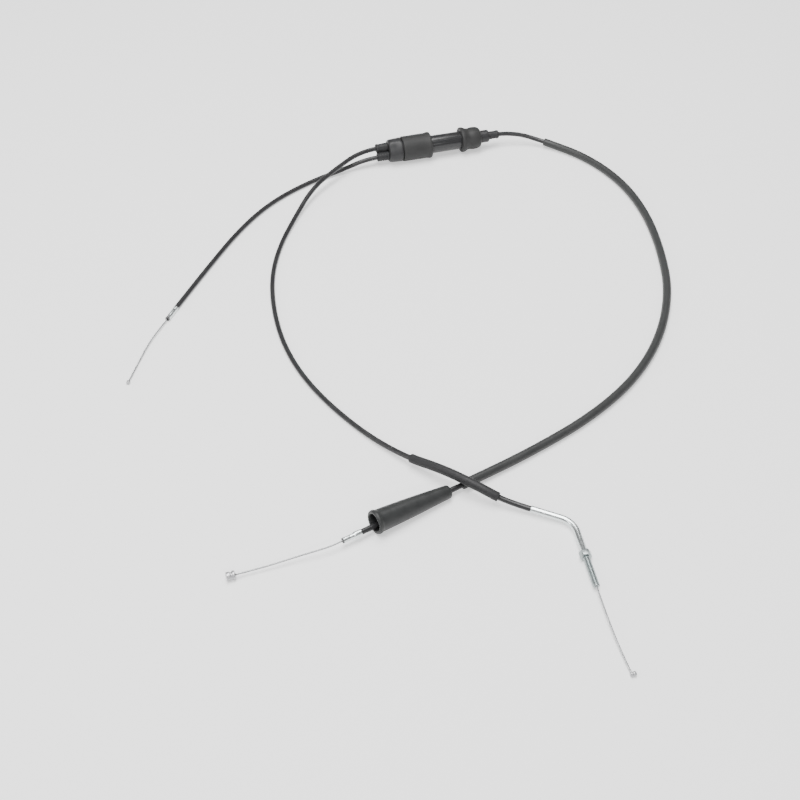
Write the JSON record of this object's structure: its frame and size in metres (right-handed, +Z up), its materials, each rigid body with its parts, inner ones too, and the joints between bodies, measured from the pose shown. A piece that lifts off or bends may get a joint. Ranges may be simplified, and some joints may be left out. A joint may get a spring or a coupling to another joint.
{
  "type": "throttle cable set with splitter",
  "caption": "Throttle cable for a two-stroke motorcycle: one cable from the twist grip splits at a black junction into a carburettor cable with an elbow and an oil pump cable.",
  "frame": {"origin": "bottom centre of the splitter, in the middle of its length, on the surface that the cables lie on", "axes": "+X along the splitter towards the throttle cable, +Z up from the surface, +Y to the side away from the cable loop"},
  "size_m": [0.5804, 0.7568, 0.0295],
  "materials": {
    "black_plastic": "semi-gloss",
    "black_rubber": "matte",
    "jacket": "satin",
    "sheath": "satin",
    "spring_steel": "satin",
    "white_plastic": "satin",
    "wire": "stranded",
    "zinc": "satin zinc plate",
    "cast_zinc": "satin",
    "slider_plastic": "satin"
  },
  "bodies": {
    "cable_set": {"splitter_body": "black_plastic", "outlet_cap": "black_plastic", "inlet_cap": "black_plastic", "inlet_collar": "black_rubber", "inlet_seal": "black_rubber", "splitter_sleeve": "black_rubber", "carb_outlet_seal": "black_rubber", "pump_outlet_seal": "black_rubber", "main_inner_ferrule": "zinc", "carb_inner_ferrule": "zinc", "pump_inner_ferrule": "zinc", "main_sheath": "sheath", "carb_sleeve": "black_rubber", "throttle_ferrule": "zinc", "pump_ferrule": "zinc", "main_jacket": "jacket", "main_conduit": "spring_steel", "main_liner": "white_plastic", "main_core": "wire", "carb_jacket": "jacket", "carb_conduit": "spring_steel", "carb_liner": "white_plastic", "carb_core": "wire", "pump_jacket": "jacket", "pump_conduit": "spring_steel", "pump_liner": "white_plastic", "pump_core": "wire"},
    "throttle_wire": {"throttle_wire": "wire", "throttle_nipple": "cast_zinc"},
    "slider": {"slider": "slider_plastic", "slider_main_nipple": "cast_zinc", "slider_carb_nipple": "cast_zinc", "slider_pump_nipple": "cast_zinc", "main_slider_wire": "wire", "carb_slider_wire": "wire", "pump_slider_wire": "wire"},
    "elbow": {"elbow_tube": "zinc", "elbow_core": "wire"},
    "elbow_fitting": {"elbow_fitting": "zinc"},
    "carb_wire": {"carb_wire": "wire", "carb_nipple": "cast_zinc"},
    "pump_wire": {"pump_wire": "wire", "pump_nipple": "cast_zinc"},
    "throttle_boot": {"throttle_boot": "black_rubber"}
  },
  "joints": [
    {"name": "throttle_pull", "type": "slide", "parent": "cable_set", "child": "throttle_wire", "axis": [-0.9567, -0.2907, 0.0132], "range_m": [0, 0.02]},
    {"name": "slider_travel", "type": "slide", "parent": "cable_set", "child": "slider", "axis": [1, 0, 0], "range_m": [0, 0.02]},
    {"name": "carb_wire_travel", "type": "slide", "parent": "elbow", "child": "carb_wire", "axis": [0.1161, 0.9932, 0], "range_m": [0, 0.02]},
    {"name": "pump_wire_travel", "type": "slide", "parent": "cable_set", "child": "pump_wire", "axis": [0.5965, 0.8026, 0], "range_m": [0, 0.02]},
    {"name": "elbow_swivel", "type": "hinge", "parent": "cable_set", "child": "elbow", "pos_m": [-0.093, -0.56, 0.006], "axis": [-0.7936, 0.6072, 0.0399], "continuous": true},
    {"name": "nozzle_spin", "type": "hinge", "parent": "elbow", "child": "elbow_fitting", "pos_m": [-0.0715, -0.6538, 0.0045], "axis": [-0.1161, -0.9932, 0], "continuous": true},
    {"name": "boot_slide", "type": "slide", "parent": "cable_set", "child": "throttle_boot", "axis": [-0.9567, -0.2907, 0.0132], "range_m": [-0.005, 0.022]}
  ],
  "couplings": [
    {"joint": "slider_travel", "follows": "throttle_pull", "ratio": 1},
    {"joint": "carb_wire_travel", "follows": "throttle_pull", "ratio": 1},
    {"joint": "pump_wire_travel", "follows": "throttle_pull", "ratio": 1}
  ]
}
